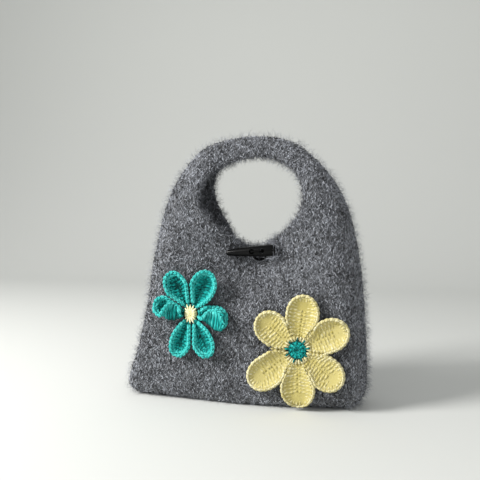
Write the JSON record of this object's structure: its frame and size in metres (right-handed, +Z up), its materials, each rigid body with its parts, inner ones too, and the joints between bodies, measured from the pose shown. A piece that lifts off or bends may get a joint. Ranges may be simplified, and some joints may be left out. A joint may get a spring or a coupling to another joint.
{
  "type": "knitted handbag",
  "caption": "Small soft handbag of brushed grey knit with an integral top handle, a horn toggle at its mouth, and a teal and a yellow crocheted flower sewn on its front.",
  "frame": {"origin": "middle of the flat foot that the bag stands on, on the floor", "axes": "+Z up, X along the bag's width with +X to the viewer's right as its front is seen, -Y out of the front that carries the flowers"},
  "size_m": [0.2592, 0.0901, 0.284],
  "materials": {
    "grey_knit": "brushed fuzzy melange knit",
    "teal_yarn": "matt cotton crochet",
    "yellow_yarn": "matt cotton crochet",
    "pale_yarn": "matt cotton crochet",
    "black_horn": "polished",
    "black_cord": "twisted thread"
  },
  "bodies": {
    "root": {"knit_body": "grey_knit", "teal_petal_1": "teal_yarn", "teal_petal_2": "teal_yarn", "teal_petal_3": "teal_yarn", "teal_petal_4": "teal_yarn", "teal_petal_5": "teal_yarn", "teal_petal_6": "teal_yarn", "yellow_petal_1": "yellow_yarn", "yellow_petal_2": "yellow_yarn", "yellow_petal_3": "yellow_yarn", "yellow_petal_4": "yellow_yarn", "yellow_petal_5": "yellow_yarn", "yellow_petal_6": "yellow_yarn", "teal_flower_centre": "pale_yarn", "yellow_flower_centre": "teal_yarn", "toggle": "black_horn", "toggle_thread": "black_cord", "closing_loop": "black_cord"}
  },
  "joints": []
}
